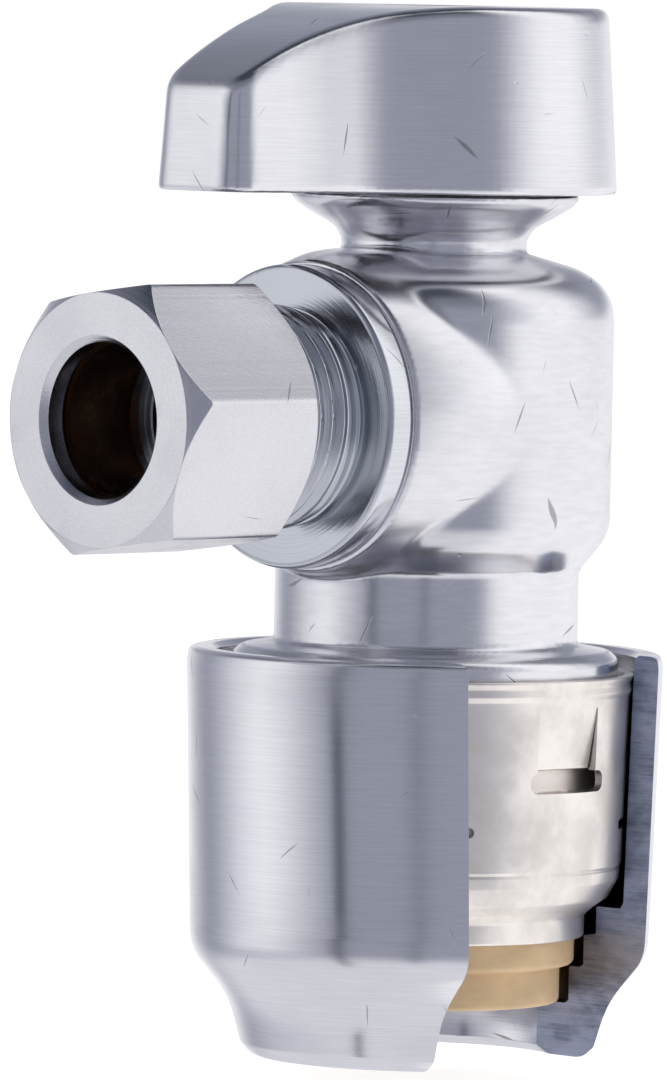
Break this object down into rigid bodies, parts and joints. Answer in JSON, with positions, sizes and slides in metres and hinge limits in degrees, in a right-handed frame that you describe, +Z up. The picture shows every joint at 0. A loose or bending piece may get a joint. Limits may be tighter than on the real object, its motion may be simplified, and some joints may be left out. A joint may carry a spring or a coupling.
{
  "type": "angle stop valve",
  "caption": "Quarter-turn angle stop valve with a push-fit pipe inlet below, a compression tube outlet at the side and a teardrop lever handle; the release sleeve is cut away at one side.",
  "frame": {"origin": "centre of the pipe entry, in the plane of the release collar's outer end", "axes": "+Z up the inlet and stem axis, -Y out of the compression outlet"},
  "size_m": [0.0286, 0.0445, 0.0671],
  "materials": {
    "chrome_body": "bright chrome plate over forged brass, fine scratches",
    "chrome_nipple": "chrome plate with turned rings",
    "chrome_nut": "satin chrome plate with turned face",
    "chrome_handle": "brushed chrome plate",
    "chrome_sleeve": "brushed chrome plate, sawn and polished at the cut",
    "cap_steel": "dull drawn stainless steel",
    "collar_plastic": "tan moulded acetal",
    "seal_rubber": "black EPDM",
    "seat_plastic": "white PTFE",
    "ball_chrome": "polished",
    "stem_brass": "machined",
    "ferrule_brass": "machined, lightly tarnished",
    "screw_steel": "zinc plated",
    "spring_steel": "bright spring steel",
    "protector_plastic": "natural moulded plastic",
    "holder_plastic": "dark grey moulded plastic"
  },
  "bodies": {
    "body": {"valve_body": "chrome_body", "outlet_nipple": "chrome_nipple", "nipple_o_ring": "seal_rubber", "outlet_ball_seat": "seat_plastic", "rear_ball_seat": "seat_plastic", "stem_thrust_washer": "seat_plastic", "pipe_o_ring": "seal_rubber", "o_ring_protector": "protector_plastic", "grab_ring": "spring_steel", "grab_ring_holder": "holder_plastic", "retaining_cap": "cap_steel"},
    "handle_group": {"handle": "chrome_handle", "handle_screw": "screw_steel", "stem": "stem_brass", "ball": "ball_chrome", "stem_o_ring_upper": "seal_rubber", "stem_o_ring_lower": "seal_rubber"},
    "ferrule_body": {"ferrule": "ferrule_brass"},
    "nut_body": {"compression_nut": "chrome_nut"},
    "sleeve_body": {"release_sleeve": "chrome_sleeve"},
    "collar_body": {"release_collar": "collar_plastic"}
  },
  "joints": [
    {"name": "handle_turn", "type": "hinge", "parent": "body", "child": "handle_group", "pos_m": [0, 0, 0.0374], "axis": [0, 0, 1], "range_deg": [-90, 0]},
    {"name": "ferrule_slide", "type": "slide", "parent": "body", "child": "ferrule_body", "axis": [0, 1, 0], "range_m": [-0.00423, 0.00132]},
    {"name": "nut_turn", "type": "hinge", "parent": "ferrule_body", "child": "nut_body", "pos_m": [0, -0.0237, 0.0374], "axis": [0, 1, 0], "range_deg": [-1440, 450]},
    {"name": "sleeve_slide", "type": "slide", "parent": "body", "child": "sleeve_body", "axis": [0, 0, 1], "range_m": [-0.0015, 0]},
    {"name": "collar_slide", "type": "slide", "parent": "body", "child": "collar_body", "axis": [0, 0, 1], "range_m": [-0.0015, 0]}
  ],
  "couplings": [
    {"joint": "ferrule_slide", "follows": "nut_turn", "m_per_rad": 0.00016844},
    {"joint": "collar_slide", "follows": "sleeve_slide", "ratio": 1}
  ]
}
